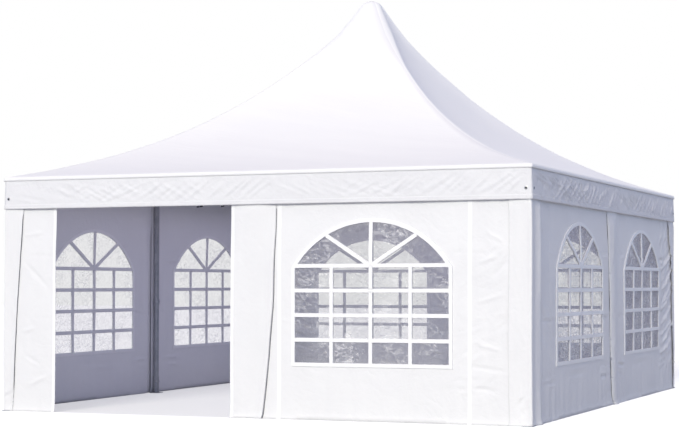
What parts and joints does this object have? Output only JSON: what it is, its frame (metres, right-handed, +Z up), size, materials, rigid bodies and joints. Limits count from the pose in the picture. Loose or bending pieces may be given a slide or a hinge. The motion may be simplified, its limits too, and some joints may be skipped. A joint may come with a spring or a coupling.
{
  "type": "pagoda marquee tent",
  "caption": "Square pagoda marquee: a swept peaked cloth roof on a steel tube frame, with arched window walls and an open doorway.",
  "frame": {"origin": "on the ground, at the centre of the square plan", "axes": "+Z is up, -Y is out of the doorway side, +X is to the right of someone who faces the doorway from outside"},
  "size_m": [5, 5, 3.955],
  "materials": {
    "cloth": "satin coated cloth",
    "film": "clear flexible film",
    "steel": "galvanised"
  },
  "bodies": {
    "root": {"roof_gore_front": "cloth", "roof_gore_right": "cloth", "roof_gore_back": "cloth", "roof_gore_left": "cloth", "roof_crown": "cloth", "valance_front": "cloth", "valance_right": "cloth", "valance_back": "cloth", "valance_left": "cloth", "post_front_left": "steel", "post_front_middle": "steel", "post_front_right": "steel", "post_right_middle": "steel", "post_back_right": "steel", "post_back_middle": "steel", "post_back_left": "steel", "post_left_middle": "steel", "eave_tube_front": "steel", "eave_tube_right": "steel", "eave_tube_back": "steel", "eave_tube_left": "steel", "hip_rafter_front_left": "steel", "hip_rafter_front_right": "steel", "hip_rafter_back_right": "steel", "hip_rafter_back_left": "steel", "rafter_hub": "steel", "king_pole": "steel", "wall_front_right": "cloth", "wall_right_left": "cloth", "wall_right_right": "cloth", "wall_back_left": "cloth", "wall_back_right": "cloth", "wall_left_left": "cloth", "wall_left_right": "cloth", "window_film_front_right": "film", "window_film_right_left": "film", "window_film_right_right": "film", "window_film_back_left": "film", "window_film_back_right": "film", "window_film_left_left": "film", "window_film_left_right": "film", "corner_flap_front_left": "cloth", "corner_flap_front_right": "cloth", "corner_flap_back_left": "cloth", "corner_flap_back_right": "cloth", "door_panel_left": "cloth", "door_panel_right": "cloth", "door_top_band": "cloth", "door_roll": "cloth"}
  },
  "joints": []
}
